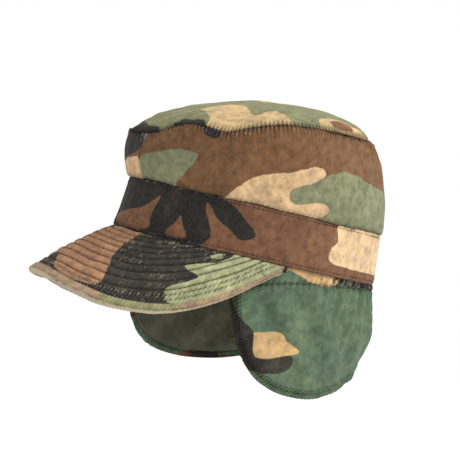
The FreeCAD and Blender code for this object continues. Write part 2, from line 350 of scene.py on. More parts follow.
def gridPiece(name, us, vs, place):
    # A flat grid of cloth whose every point is then carried to its place on the cap.
    deselect()
    bpy.ops.mesh.primitive_grid_add(x_subdivisions=len(us) - 1, y_subdivisions=len(vs) - 1, size=2)
    piece = bpy.context.object
    piece.name = name
    piece.data.name = name
    mesh = piece.data
    flat = np.empty(len(mesh.vertices) * 3)
    mesh.vertices.foreach_get("co", flat)
    flat = flat.reshape(-1, 3)
    column = np.rint((flat[:, 0] + 1) / 2 * (len(us) - 1)).astype(int)
    row = np.rint((flat[:, 1] + 1) / 2 * (len(vs) - 1)).astype(int)
    u = np.asarray(us, float)[column]
    v = np.asarray(vs, float)[row]
    points = place(u, v)
    mesh.vertices.foreach_set("co", points.ravel())
    return piece, u, v, points


def putUv(piece, across, up):
    mesh = piece.data
    layer = mesh.uv_layers.active or mesh.uv_layers.new(name="UVMap")
    corner = np.empty(len(mesh.loops), int)
    mesh.loops.foreach_get("vertex_index", corner)
    layer.data.foreach_set("uv", np.stack([across[corner], up[corner]], -1).ravel())


def putValue(piece, name, values):
    layer = piece.data.attributes.get(name) or piece.data.attributes.new(name, "FLOAT", "POINT")
    layer.data.foreach_set("value", np.asarray(values, np.float32))


def outlineDistance(x, y, outline, scale):
    # Signed distance in millimetres to a rounded outline: above zero inside it.
    knots = np.array(outline, float) * np.array(scale)
    before, after, later = np.roll(knots, 1, 0), np.roll(knots, -1, 0), np.roll(knots, -2, 0)
    bends = []
    for t in (0.0, 0.25, 0.5, 0.75):
        second = (2 * before - 5 * knots + 4 * after - later) * t * t
        third = (3 * knots - before - 3 * after + later) * t ** 3
        bends.append(0.5 * (2 * knots + (after - before) * t + second + third))
    line = np.stack(bends, 1).reshape(-1, 2)
    nearest = np.full(len(x), 1e9)
    inside = np.zeros(len(x), bool)
    px, py = x * scale[0], y * scale[1]
    for start, end in zip(line, np.roll(line, -1, 0)):
        run = end - start
        share = np.clip(((px - start[0]) * run[0] + (py - start[1]) * run[1]) / max(run @ run, 1e-9), 0, 1)
        gap = (px - start[0] - run[0] * share) ** 2 + (py - start[1] - run[1] * share) ** 2
        nearest = np.minimum(nearest, gap)
        crosses = (start[1] > py) != (end[1] > py)
        rise = run[1] if abs(run[1]) > 1e-9 else 1e-9
        inside ^= crosses & (px < start[0] + (py - start[1]) / rise * run[0])
    return np.where(inside, 1.0, -1.0) * np.sqrt(nearest)


def paintCamouflage(piece, kind, u, v, points, seed):
    # Works out which colour wins at each point and stores how far each edge is, in millimetres.
    plan = camouflage[kind]
    side = signed(u) if abs(u).max() > 91 else u
    order = ("brown", "green", "black", "cream")
    drawn = {name: np.full(len(u), -60.0) for name in order}
    drawn[plan["base"]] = np.zeros(len(u))
    for name, outline in plan["outlines"]:
        distance = outlineDistance(side, v, outline, plan["scale"])
        for other in order:
            drawn[other] = np.minimum(drawn[other], -distance)
        drawn[name] = np.maximum(drawn[name], distance)
    chance = {"brown": np.zeros(len(u))}
    for step, (name, bar) in enumerate((("green", 0.02), ("black", 0.12), ("cream", 0.22))):
        chance[name] = (crumple(points, 0.045, seed + 10 * step) - bar) * 26.0
    low, high = plan["seen"]
    known = smoothStep(low - 22, low, side) * smoothStep(high + 22, high, side)
    field = [known * np.clip(drawn[name], -12, 12) + (1 - known) * np.clip(chance[name], -12, 12)
             for name in order]
    for step in (1, 2, 3):
        above = np.max(field[step:], axis=0)
        below = np.max(field[:step], axis=0)
        putValue(piece, "edge" + order[step].capitalize(), above - below)


def finishCloth(piece, thickness, finish, weld=False):
    # Welds the closing seam, gives the cloth its thickness inwards, shades it and gives it its finish.
    deselect()
    piece.select_set(True)
    bpy.context.view_layer.objects.active = piece
    if weld:
        bpy.ops.object.mode_set(mode="EDIT")
        bpy.ops.mesh.select_all(action="SELECT")
        bpy.ops.mesh.remove_doubles(threshold=0.00002)
        bpy.ops.object.mode_set(mode="OBJECT")
    solid = piece.modifiers.new("thickness", "SOLIDIFY")
    solid.thickness = thickness
    solid.offset = -1.0
    bpy.ops.object.modifier_apply(modifier=solid.name)
    bpy.ops.object.shade_smooth_by_angle(angle=math.radians(50.0))
    piece.data.materials.append(finish)
    deselect()


# Materials: node helpers, then one function for each finish.
def startMaterial(name):
    material = bpy.data.materials.new(name)
    material.use_nodes = True
    tree = material.node_tree
    return material, tree, tree.nodes["Principled BSDF"]


def addNode(tree, kind, inputs=None, **settings):
    node = tree.nodes.new(kind)
    for key, value in settings.items():
        setattr(node, key, value)
    for key, value in (inputs or {}).items():
        if isinstance(value, bpy.types.NodeSocket):
            tree.links.new(value, node.inputs[key])
        else:
            node.inputs[key].default_value = value
    return node


def mathNode(tree, operation, first, second):
    return addNode(tree, "ShaderNodeMath", {0: first, 1: second}, operation=operation).outputs[0]


def multiply(tree, first, second):
    return mathNode(tree, "MULTIPLY", first, second)


def add(tree, first, second):
    return mathNode(tree, "ADD", first, second)


def mixColour(tree, factor, first, second, blend="MIX"):
    inputs = {0: factor, 6: first, 7: second}
    return addNode(tree, "ShaderNodeMix", inputs, data_type="RGBA", blend_type=blend).outputs[2]


def spread(tree, value, low, high, toLow=0.0, toHigh=1.0):
    return addNode(tree, "ShaderNodeMapRange", {0: value, 1: low, 2: high, 3: toLow, 4: toHigh}).outputs[0]


def noiseNode(tree, vector, scale, detail=2.0, roughness=0.5):
    inputs = {"Vector": vector, "Scale": scale, "Detail": detail, "Roughness": roughness}
    return addNode(tree, "ShaderNodeTexNoise", inputs).outputs[0]


def attributeNode(tree, name):
    return addNode(tree, "ShaderNodeAttribute", attribute_name=name).outputs["Fac"]


def weaveNodes(tree, pitch, strength, shader, place, extra=None):
    # Fine diagonal ribs of a twill, with uneven yarns, as a bump.
    uv = addNode(tree, "ShaderNodeUVMap").outputs[0]
    wave = {"Vector": uv, "Scale": 0.444 / pitch, "Distortion": 1.5, "Detail": 1.0, "Detail Scale": 2.0}
    ribs = addNode(tree, "ShaderNodeTexWave", wave, bands_direction="DIAGONAL").outputs["Fac"]
    yarn = noiseNode(tree, place, 1400.0, 3.0, 0.6)
    height = add(tree, multiply(tree, ribs, 0.5), multiply(tree, yarn, 0.9))
    if extra is not None:
        height = add(tree, height, extra)
    bump = addNode(tree, "ShaderNodeBump", {"Height": height, "Distance": 0.00022, "Strength": strength})
    tree.links.new(bump.outputs[0], shader.inputs["Normal"])


def camouflageMaterial(kind, fade=0.30, wearAmount=1.0, creases=0.0):
    material, tree, shader = startMaterial("camouflage_" + kind)
    place = addNode(tree, "ShaderNodeTexCoord").outputs["Object"]
    palette = colours[kind]
    ragged = multiply(tree, mathNode(tree, "SUBTRACT", noiseNode(tree, place, 700.0, 3.0, 0.6), 0.5), 1.6)
    slow = multiply(tree, mathNode(tree, "SUBTRACT", noiseNode(tree, place, 170.0, 2.0), 0.5), 2.4)
    ragged = add(tree, ragged, slow)
    colour = None
    last = linear(palette["brown"])
    for name in ("green", "black", "cream"):
        edge = add(tree, attributeNode(tree, "edge" + name.capitalize()), ragged)
        share = spread(tree, edge, -0.30, 0.30)
        colour = mixColour(tree, share, colour or last, linear(palette[name]))
    cloudy = noiseNode(tree, place, 42.0, 4.0, 0.6)
    faded = mixColour(tree, 1.0, colour, (1.30, 1.24, 1.16, 1.0), "MULTIPLY")
    colour = mixColour(tree, spread(tree, cloudy, 0.42, 0.70), colour, faded)
    colour = mixColour(tree, spread(tree, cloudy, 0.50, 0.75, 0.0, fade * 0.35), colour, linear("a39274"))
    blotch = noiseNode(tree, place, 160.0, 5.0, 0.7)
    shade = spread(tree, blotch, 0.34, 0.68, 0.64, 1.28)
    colour = mixColour(tree, 1.0, colour, shade, "MULTIPLY")
    if creases > 0:
        uv = addNode(tree, "ShaderNodeUVMap").outputs[0]
        stretched = {0: uv, 1: (1.0, 0.20, 1.0)}
        run = addNode(tree, "ShaderNodeVectorMath", stretched, operation="MULTIPLY").outputs[0]
        streak = noiseNode(tree, run, 780.0, 2.0, 0.7)
        patch = spread(tree, noiseNode(tree, place, 75.0, 3.0), 0.42, 0.62)
        streak = multiply(tree, spread(tree, streak, 0.585, 0.68), patch)
        colour = mixColour(tree, multiply(tree, streak, creases), colour, linear("b9ad8b"))
    fuzz = noiseNode(tree, place, 1100.0, 2.0, 0.7)
    colour = mixColour(tree, spread(tree, fuzz, 0.45, 0.80, 0.0, 0.10), colour, linear("c9bda0"))
    worn = multiply(tree, attributeNode(tree, "wear"), wearAmount)
    flecks = noiseNode(tree, place, 380.0, 4.0, 0.75)
    bare = spread(tree, add(tree, worn, flecks), 0.98, 1.20)
    colour = mixColour(tree, multiply(tree, bare, 0.85), colour, linear("cbbd9f"))
    # Painted shade: darkens the colour towards near-black 1d1a17 in seams, stitch rows, pucker troughs and
    # tucked edges, where shade would fall.
    soil = multiply(tree, attributeNode(tree, "soil"), spread(tree, flecks, 0.2, 0.7, 0.7, 1.0))
    colour = mixColour(tree, multiply(tree, soil, 0.75), colour, linear("1d1a17"))
    tree.links.new(colour, shader.inputs["Base Color"])
    shader.inputs["Roughness"].default_value = 0.93
    shader.inputs["Sheen Weight"].default_value = 0.03
    shader.inputs["Sheen Roughness"].default_value = 0.6
    shader.inputs["Specular IOR Level"].default_value = 0.12
    weaveNodes(tree, 0.0008, 0.55, shader, place, multiply(tree, blotch, 0.8))
    return material


def plainCloth(name, code, shadow, pitch=0.0009, roughness=0.92, mottle=120.0):
    material, tree, shader = startMaterial(name)
    place = addNode(tree, "ShaderNodeTexCoord").outputs["Object"]
    blotch = noiseNode(tree, place, mottle, 5.0, 0.65)
    colour = mixColour(tree, spread(tree, blotch, 0.3, 0.7), linear(shadow), linear(code))
    tree.links.new(colour, shader.inputs["Base Color"])
    shader.inputs["Roughness"].default_value = roughness
    shader.inputs["Sheen Weight"].default_value = 0.1
    weaveNodes(tree, pitch, 0.5, shader, place)
    return material


finishes = {kind: camouflageMaterial(kind) for kind in colours}
finishes["binding"] = camouflageMaterial("binding", 0.3, 1.35, 0.5)
finishes["visor"] = camouflageMaterial("visor", 0.35, 1.35, 0.9)
threadFinish = plainCloth("thread_dark", "2a241e", "100d0b", 0.0003, 0.75, 900.0)
sweatFinish = plainCloth("sweatband_cotton", "6d6650", "4a4535")
flannelFinish = plainCloth("flap_flannel", "5c5b43", "3d3c2b", 0.0014)
tapeFinish = plainCloth("seam_tape_cotton", "6a6247", "4a4330")
canvasFinish = plainCloth("band_canvas", "a59a7c", "837859")
boardFinish = plainCloth("visor_board_fibre", "b5ad98", "968e7a", 0.002)
elasticFinish = plainCloth("nape_elastic_rib", "c9c2b2", "96907f", 0.0012)
labelFinish = plainCloth("blank_label_tape", "d2c8b0", "b5aa90", 0.0006)
print("materials ready")


# Crown: a domed top and two gathered halves, roped where they are sewn together.
def ropes(along, spacing, seed):
    # Uneven little folds along a seam, about one every spacing metres.
    wander = np.random.default_rng(seed).uniform(-1, 1, 400)
    spot = along / (spacing * 6) % 399
    step = np.floor(spot).astype(int)
    drift = wander[step] * (1 - spot + step) + wander[(step + 1) % 400] * (spot - step)
    return np.sin(2 * math.pi * along / spacing + 2.2 * drift)


def groove(distance, width):
    return np.exp(-(distance / width) ** 2)


def sidePlace(angle, share):
    base = crownPoint(angle, share)
    normal = normalsOf(crownPoint, angle, share, 0.4, 0.004)
    tall = seamHeight(angle) - bandTop
    fromTop = (1 - share) * tall
    fromBand = share * tall
    squeezed = base * np.array([1.0, 1.0, 0.35])
    lift = crown["lump"] * crumple(base, 0.034, 11)
    near = np.exp(-fromTop / 0.016) + 0.7 * np.exp(-fromBand / 0.014)
    rear = smoothStep(70, 130, fromFront(angle))
    lift = lift + (0.0010 + 0.0010 * rear) * near * crumple(squeezed, 0.0085, 23)
    gather = 0.6 + 0.4 * lumps(squeezed, 0.012, 29)
    puckers = gather * ropes(angle * arcScale, crown["rope"], 5) * np.exp(-(fromTop / 0.0060) ** 1.3)
    lift = lift + crown["pleat"] * 1.05 * puckers
    lift = lift + 0.0003 * ropes(angle * arcScale, crown["bandRope"], 6) * np.exp(-(fromBand / 0.004) ** 2)
    lift = lift + 0.0005 * groove(fromTop - 0.0020, 0.0016) - 0.0010 * groove(fromTop, 0.0009)
    middle = np.minimum(fromFront(angle), 180 - fromFront(angle)) * arcScale
    lift = lift + 0.0006 * smoothStep(0.0052, 0.0040, middle) - 0.0009 * groove(middle, 0.0006)
    lift = lift - 0.0006 * groove(middle - 0.0036, 0.0006)
    return base + normal * lift[..., None]


def domePlace(angle, share):
    share = np.maximum(share, 0.0)
    base = domePoint(angle, share)
    normal = normalsOf(domePoint, angle, np.clip(share, 0.02, 1.0), 0.4, 0.004)
    normal[share < 0.02] = (0.0, -0.15, 0.99)
    fromSeam = (1 - share) * dome["reach"]
    lift = dome["lump"] * crumple(base, 0.030, 37) * smoothStep(0.0, 0.012, fromSeam)
    lift = lift + 0.0010 * np.exp(-fromSeam / 0.014) * crumple(base, 0.010, 41)
    puckers = ropes(angle * arcScale, crown["rope"], 5) * np.exp(-(fromSeam / 0.0035) ** 1.5)
    lift = lift + dome["pleat"] * 0.6 * puckers
    lift = lift + 0.0004 * groove(fromSeam - 0.0020, 0.0018) - 0.0009 * groove(fromSeam, 0.0009)
    return base + normal * lift[..., None]


crownPieces = []
for side, first, last in (("Left", 0.0, 180.0), ("Right", 180.0, 360.0)):
    us = np.linspace(first, last, crown["columns"])
    vs = np.concatenate([np.linspace(0, 0.80, 44)[:-1], np.linspace(0.80, 1.0, 26)])
    piece, u, v, points = gridPiece("sideCrown" + side, us, vs, sidePlace)
    putUv(piece, u * arcScale, points[:, 2])
    paintCamouflage(piece, "crownSide", u, v, points, 101)
    tall = seamHeight(u) - bandTop
    fromTop, fromBand = (1 - v) * tall, v * tall
    notch = ropes(u * arcScale, crown["rope"], 5)
    middle = np.minimum(fromFront(u), 180 - fromFront(u)) * arcScale
    wear = 0.42 * groove(fromTop - 0.0034, 0.0042) * (0.55 + 0.45 * notch)
    wear = wear + 0.22 * groove(middle - 0.0020, 0.0018)
    wear = wear + 0.14 * np.exp(-fromTop / 0.012) + 0.10 * groove(fromBand - 0.003, 0.003)
    # Painted shade along the crown seam, in the troughs between the puckers, at the band's edge and along the
    # middle seam.
    soil = groove(fromTop, 0.0026) * smoothStep(0.35, -0.45, notch)
    soil = soil + 0.55 * groove(fromTop, 0.0008) + 0.6 * groove(fromBand, 0.0014)
    soil = soil + 0.5 * groove(middle, 0.0006)
    putValue(piece, "wear", wear)
    putValue(piece, "soil", np.clip(soil, 0, 1))
    finishCloth(piece, crown["cloth"], finishes["crownSide"])
    crownPieces.append(piece)
sideCrownLeft, sideCrownRight = crownPieces

rhos = np.concatenate([np.linspace(0, 0.86, 26)[:-1], np.linspace(0.86, 1.0, 22)])
crownTop, u, v, points = gridPiece("crownTop", np.linspace(360, 0, 901), rhos, domePlace)
putUv(crownTop, points[:, 0], points[:, 1])
paintCamouflage(crownTop, "crownTop", u, v, points, 151)
fromSeam = (1 - v) * dome["reach"]
notch = ropes(u * arcScale, crown["rope"], 5)
putValue(crownTop, "wear", 0.30 * groove(fromSeam - 0.0020, 0.0026) * (0.6 + 0.4 * notch))
# Painted shade at the crown seam and in the troughs between its puckers.
soil = 0.95 * groove(fromSeam, 0.0022) * smoothStep(0.35, -0.45, notch) + 0.5 * groove(fromSeam, 0.0008)
putValue(crownTop, "soil", np.clip(soil, 0, 1))
finishCloth(crownTop, crown["cloth"], finishes["crownTop"], weld=True)


def tapePlace(angle, share):
    base = sidePlace(angle, 1.0 - (1.0 - share) * seamTape["width"] / (seamHeight(angle) - bandTop))
    outward = levelOut(base - np.array([0.0, -crown["forward"], 0.0]))
    return base - outward * seamTape["inside"] - np.array([0.0, 0.0, seamTape["lower"]])


crownSeamTape, u, v, points = gridPiece("crownSeamTape", np.linspace(0, 360, 361), np.linspace(0, 1, 8),
                                        tapePlace)
putUv(crownSeamTape, u * arcScale, v * 0.010)
finishCloth(crownSeamTape, seamTape["cloth"], tapeFinish, weld=True)
print("crown ready")


# Band: a cloth ring with a stitched row near each edge.
def bandPlace(angle, height):
    base = bandPoint(angle, height)
    normal = levelOut(base)
    lift = band["lump"] * crumple(base, 0.022, 61) * smoothStep(0, 0.004, height)
    lift = lift + 0.00045 * crumple(base * np.array([1.0, 1.0, 0.3]), 0.007, 67)
    edge = np.minimum(height, bandTop - height)
    lift = lift - 0.0011 * groove(edge, 0.0009)
    for row in band["rows"]:
        near = np.abs(height - row)
        lift = lift - band["rowDepth"] * groove(near, 0.0007)
        lift = lift + 0.00030 * ropes(angle * arcScale, band["rope"], 7) * groove(near, 0.003)
    return base + normal * lift[..., None]


zs = np.concatenate([np.linspace(0, 0.006, 12)[:-1], np.linspace(0.006, 0.031, 26)[:-1],
                     np.linspace(0.031, bandTop, 12)])
outerBand, u, v, points = gridPiece("outerBand", np.linspace(0, 360, band["columns"] + 1), zs, bandPlace)
putUv(outerBand, u * arcScale, v)
paintCamouflage(outerBand, "band", u, v / millimetre, points, 201)
edge = np.minimum(v, bandTop - v)
putValue(outerBand, "wear", 0.46 * groove(edge - 0.0010, 0.0010) + 0.12 * groove(edge - 0.004, 0.002))
# Painted shade at the band's edges and along its sunk stitched rows.
putValue(outerBand, "soil", np.clip(0.6 * groove(edge, 0.0008) + 0.35 * groove(edge - 0.0026, 0.0006), 0, 1))
finishCloth(outerBand, band["cloth"], finishes["band"], weld=True)
print("band ready")


# Visor: two quilted faces over a board, bound round the rim.
def quilting(distance):
    # Height of the cloth between the parallel rows: puffed between them, pulled down at each.
    phase = (distance - visor["firstRow"]) / visor["rowSpacing"]
    near = np.abs(phase - np.rint(phase)) * visor["rowSpacing"]
    sewn = smoothStep(-0.7, -0.3, phase)
    height = visor["puff"] - (visor["puff"] + visor["rowDepth"]) * groove(near, 0.0011)
    return sewn * height, near + (1 - sewn)


def visorNormal(turn, share):
    return facingUp(normalsOf(visorPoint, turn, share, 0.3, 0.004))


def visorLift(turn, share, seed):
    base = visorPoint(turn, share)
    distance = rimDistance(turn, share)
    height, near = quilting(distance)
    across = turn * visorArc
    height = height + 0.00025 * ropes(across, visor["rowRope"], seed) * groove(near, 0.0018)
    height = height + 0.0006 * crumple(base, 0.016, seed + 3) * smoothStep(0.0, 0.01, distance)
    for row in visor["edgeRows"]:
        height = height - 0.0004 * groove(distance - row, 0.0006)
        height = height + 0.0004 * ropes(across, visor["edgeRope"], 71) * groove(distance - row, 0.0016)
    return base, visorNormal(turn, share), height * smoothStep(90, 80, np.abs(turn))


def visorTopPlace(turn, share):
    base, normal, height = visorLift(turn, share, 71)
    return base + normal * (height + 0.0001)[..., None]


def visorUnderPlace(turn, share):
    base, normal, height = visorLift(turn, share, 79)
    return base - normal * (height + visor["stack"])[..., None]


turns = np.linspace(-90, 90, 321)
shares = np.linspace(1.0, 0.0, 92)
visorTop, u, v, points = gridPiece("visorTop", turns, shares, visorTopPlace)
distance = rimDistance(u, v)
putUv(visorTop, u * visorArc, distance)
paintCamouflage(visorTop, "visor", u, v, points, 251)
near = quilting(distance)[1]
beads = ropes(u * visorArc, visor["edgeRope"], 71)
edgeRow = groove(distance - visor["edgeRows"][0], 0.0011) + groove(distance - visor["edgeRows"][1], 0.0011)
wear = 0.26 * groove(distance - 0.009, 0.004) + 0.10 * groove(near - 0.002, 0.001)
wear = wear + 0.44 * groove(v - 0.05, 0.03) * (0.6 + 0.4 * ropes(u * visorArc, visor["rootRope"], 73))
putValue(visorTop, "wear", wear + 0.30 * edgeRow * smoothStep(0.0, 0.8, beads))
# Painted shade in the sunk quilting rows, at the visor's root and in the troughs between the edge-row beads.
soil = 0.90 * groove(near, 0.0007) + 0.5 * groove(v, 0.015) + 0.85 * edgeRow * smoothStep(0.2, -0.6, beads)
putValue(visorTop, "soil", np.clip(soil, 0, 1))
finishCloth(visorTop, visor["cloth"], finishes["visor"])

visorUnder, u, v, points = gridPiece("visorUnder", -turns, np.linspace(1.0, 0.0, 60), visorUnderPlace)
putUv(visorUnder, points[:, 0], points[:, 1] - points[:, 2])
paintCamouflage(visorUnder, "visor", u, v + 3.0, points, 281)
distance = rimDistance(u, v)
near = quilting(distance)[1]
putValue(visorUnder, "wear", 0.20 * groove(distance - 0.009, 0.005))
# Painted shade in the sunk quilting rows underneath.
putValue(visorUnder, "soil", np.clip(0.40 * groove(near, 0.0007), 0, 1))
finishCloth(visorUnder, visor["cloth"], finishes["visor"])


def boardPlace(turn, share):
    inset = 0.04 + share * 0.91
    return visorPoint(turn, inset) - visorNormal(turn, inset) * visor["board"]


visorBoard, u, v, points = gridPiece("visorBoard", np.linspace(-84, 84, 97), np.linspace(1, 0, 24),
                                     boardPlace)
finishCloth(visorBoard, visor["board"], boardFinish)


def bindingPlace(turn, wrap):
    # Round the rim from the top face (wrap 0), over the edge, to the under face (wrap 1).
    half = visor["stack"] / 2 + 0.0007
    reach = (wrap - 0.5) * (2 * visor["binding"] + math.pi * half)
    bend = np.clip(reach / half, -math.pi / 2, math.pi / 2)
    inward = np.maximum(np.abs(reach) - math.pi / 2 * half, 0)
    root, rim = visorEnds(turn)
    run = root - rim
    length = np.linalg.norm(run, axis=-1)
    run = run / length[..., None]
    normal = visorNormal(turn, np.full(turn.shape, 0.97))
    inward = np.minimum(inward, length * 0.9)
    middle = rim - normal * (visor["stack"] / 2)
    bulge = half + 0.0003 * crumple(middle, 0.006, 83)
    bulge = bulge + 0.00028 * ropes(turn * visorArc, visor["edgeRope"], 71)
    share = np.clip(1.0 - inward / length, 0, 1)
    bow = visor["bulge"] * 4 * share * (1 - share) * smoothStep(90, 60, np.abs(turn))
    point = middle + run * inward[..., None] - normal * (np.sin(bend) * bulge)[..., None]
    point = point - run * (np.cos(bend) * bulge)[..., None] * 0.75
    point[..., 2] += bow
    return point


visorBinding, u, v, points = gridPiece("visorBinding", np.linspace(-89.5, 89.5, 641),
                                       np.linspace(1, 0, 25), bindingPlace)
putUv(visorBinding, u * visorArc, v * 0.017)
paintCamouflage(visorBinding, "binding", u, (0.5 - v) * 2, points, 301)
putValue(visorBinding, "wear", 0.50 * groove(v - 0.42, 0.17) + 0.12)
# Painted shade where the binding tucks in onto the visor's faces.
putValue(visorBinding, "soil", np.clip(0.6 * groove(np.abs(v - 0.5) - 0.26, 0.025), 0, 1))
finishCloth(visorBinding, visor["bindingCloth"], finishes["binding"])
print("visor ready")


# Skirt: five panels that share their side edges, hemmed, hanging from an elastic casing.
skirtStart = skirt["front"]
skirtEnd = 360.0 - skirtStart
hemAngles = np.concatenate([np.linspace(skirtStart, 76, 240), np.linspace(76, 284, 620)[1:-1],
                            np.linspace(284, skirtEnd, 240)])
hemLine = np.stack([hemAngles * skirtArc, hemDepth(hemAngles)], -1)
frontEdge = np.stack([np.full(30, skirtStart * skirtArc), np.linspace(-0.002, 0.010, 30)], -1)
backEdge = frontEdge + np.array([(skirtEnd - skirtStart) * skirtArc, 0.0])
hemSpots = np.concatenate([frontEdge, hemLine, backEdge])


def hemDistance(angle, depth):
    spots = np.stack([angle * skirtArc, depth], -1)
    nearest = np.full(len(spots), 9.0)
    for spot in hemSpots:
        nearest = np.minimum(nearest, (spots[:, 0] - spot[0]) ** 2 + (spots[:, 1] - spot[1]) ** 2)
    return np.sqrt(nearest)


def casingDepth(angle):
    return through(skirt["casing"], fromFront(angle)) * millimetre


def skirtDepth(angle, share):
    return -skirt["above"] + share * (hemDepth(angle) + skirt["above"])


def skirtShare(angle, depth):
    return (depth + skirt["above"]) / (hemDepth(angle) + skirt["above"])


def skirtPlace(angle, share):
    depth = skirtDepth(angle, share)
    base = skirtPoint(angle, depth)
    normal = levelOut(base)
    run = angle * skirtArc
    fromHem = hemDistance(angle, depth)
    below = depth - casingDepth(angle)
    rear = smoothStep(84, 125, fromFront(angle))
    fold = ropes(run, 0.0135, 91) + 0.4 * ropes(run, 0.0072, 92)
    hang = np.exp(-np.maximum(below, 0) / 0.030) * smoothStep(-0.004, 0.004, depth)
    lift = 0.0018 * rear * fold * hang
    inland = 0.35 + 0.65 * smoothStep(0.002, 0.025, fromHem)
    lift = lift + 0.0016 * inland * ropes(run - 0.7 * depth, 0.034, 94) * smoothStep(0.004, 0.03, depth)
    lift = lift + 0.0013 * inland * crumple(base, 0.026, 93) * smoothStep(0, 0.02, depth)
    lift = lift + 0.0004 * crumple(base * np.array([1, 1, 0.4]), 0.009, 95) * smoothStep(0, 0.01, depth)
    lift = lift - 0.0009 * groove(below, 0.0014)
    lift = lift + (0.0003 + 0.0005 * rear) * ropes(run, skirt["casingRope"], 97) * groove(below, 0.005)
    pleats = smoothStep(100, 108, fromFront(angle)) * smoothStep(0.002, -0.002, below)
    lift = lift + 0.0008 * pleats * ropes(run + 0.3 * depth, skirt["gather"], 97)
    lift = lift + 0.0005 * smoothStep(0.0078, 0.0066, fromHem)
    for row in skirt["hemRows"]:
        lift = lift - 0.0004 * groove(fromHem - row, 0.0006)
    lift = lift + 0.0008 * ropes(run + depth, skirt["hemRope"], 99) * groove(fromHem - 0.003, 0.0036)
    lift = lift - 0.0004 * smoothStep(0.001, 0.0, fromHem)
    return base + normal * lift[..., None]


def liningPlace(angle, share):
    depth = 0.001 + share * (np.maximum(hemDepth(angle) - 0.0058, 0.002) - 0.001)
    base = skirtPlace(angle, skirtShare(angle, depth))
    return base - levelOut(base) * 0.0016


def titleOf(name):
    # ear_left becomes earLeft
    first, *others = name.split("_")
    return first + "".join(word.capitalize() for word in others)


panelPieces = {}
for name, (first, last) in panels.items():
    title = titleOf(name)
    us = np.linspace(first, last, int((last - first) * 2.1))
    if name == "ear_left":
        us = np.concatenate([np.linspace(first, first + 8, 26)[:-1], np.linspace(first + 8, last, 80)])
    if name == "ear_right":
        us = np.concatenate([np.linspace(first, last - 8, 80)[:-1], np.linspace(last - 8, last, 26)])
    vs = np.concatenate([np.linspace(1.0, 0.88, 20)[:-1], np.linspace(0.88, 0.0, 88)])
    cloth, u, v, points = gridPiece(title + "Flap", us, vs, skirtPlace)
    depth = skirtDepth(u, v)
    putUv(cloth, u * skirtArc, -depth)
    paintCamouflage(cloth, "skirt", u, depth / millimetre, points, 351)
    fromHem = hemDistance(u, depth)
    notch = ropes(u * skirtArc + depth, skirt["hemRope"], 99)
    below = depth - casingDepth(u)
    wear = 0.24 * groove(fromHem - 0.0025, 0.0032) * (0.5 + 0.5 * notch)
    rear = smoothStep(100, 108, fromFront(u))
    pleat = ropes(u * skirtArc + 0.3 * depth, skirt["gather"], 97)
    wear = wear + 0.55 * rear * smoothStep(0.2, 0.9, pleat) * smoothStep(0.0015, -0.001, below)
    # Painted shade in the troughs along the hem, in the casing's groove and between its beads, and at the
    # flap's top just under the band.
    soil = 0.9 * groove(fromHem - 0.0045, 0.0022) * smoothStep(0.3, -0.6, notch) + 0.5 * groove(below, 0.0010)
    beads = ropes(u * skirtArc, skirt["casingRope"], 97)
    soil = soil + 0.5 * groove(below, 0.0030) * smoothStep(0.1, -0.7, beads)
    putValue(cloth, "wear", wear)
    putValue(cloth, "soil", np.clip(soil + 0.6 * groove(depth, 0.0016), 0, 1))
    finishCloth(cloth, skirt["cloth"], finishes["skirt"])
    liningUs = us[::2] if len(us) % 2 else np.append(us[:-1:2], us[-1])
    lining, u, v, points = gridPiece(title + "Lining", liningUs, np.linspace(1.0, 0.0, 50), liningPlace)
    putUv(lining, u * skirtArc, points[:, 2])
    finishCloth(lining, skirt["lining"], flannelFinish)
    panelPieces[name] = (cloth, lining)
print("skirt ready")


# Stitches: one small stitch modelled, copied in a row and each laid on its own piece of cloth.
def stitchRow(name, spots, ahead, out, finish, long=1.0, thick=1.0):
    deselect()
    bpy.ops.mesh.primitive_uv_sphere_add(segments=6, ring_count=4, radius=1.0)
    row = bpy.context.object
    row.name = name
    row.data.name = name
    bpy.ops.object.mode_set(mode="EDIT")
    bpy.ops.mesh.select_all(action="SELECT")
    bpy.ops.transform.resize(value=(0.5, 0.15, 0.15))
    bpy.ops.object.mode_set(mode="OBJECT")
    many = row.modifiers.new("row", "ARRAY")
    many.count = len(spots)
    many.use_relative_offset = False
    many.use_constant_offset = True
    many.constant_offset_displace = (4.0, 0.0, 0.0)
    bpy.ops.object.modifier_apply(modifier=many.name)
    mesh = row.data
    flat = np.empty(len(mesh.vertices) * 3)
    mesh.vertices.foreach_get("co", flat)
    flat = flat.reshape(-1, 3)
    which = np.rint(flat[:, 0] / 4.0).astype(int)
    local = flat - np.stack([which * 4.0, 0 * which, 0 * which], -1)
    side = np.cross(out, ahead)
    rng = np.random.default_rng(len(spots))
    slant = rng.uniform(-0.10, 0.10, len(spots))
    direction = ahead + side * slant[:, None]
    size = thread["length"] * long * rng.uniform(0.90, 1.06, len(spots))
    arch = 0.0004 * thick * (1 - (local[:, 0] / 0.5) ** 2) - 0.00016
    points = spots[which] + direction[which] * (local[:, 0] * size[which])[:, None]
    points = points + side[which] * (local[:, 1] * thread["thick"] * thick / 0.3)[:, None]
    points = points + out[which] * (local[:, 2] * thread["thick"] * thick / 0.34 + arch)[:, None]
    mesh.vertices.foreach_set("co", points.ravel())
    bpy.ops.object.shade_smooth()
    mesh.materials.append(finish)
    deselect()
    return row


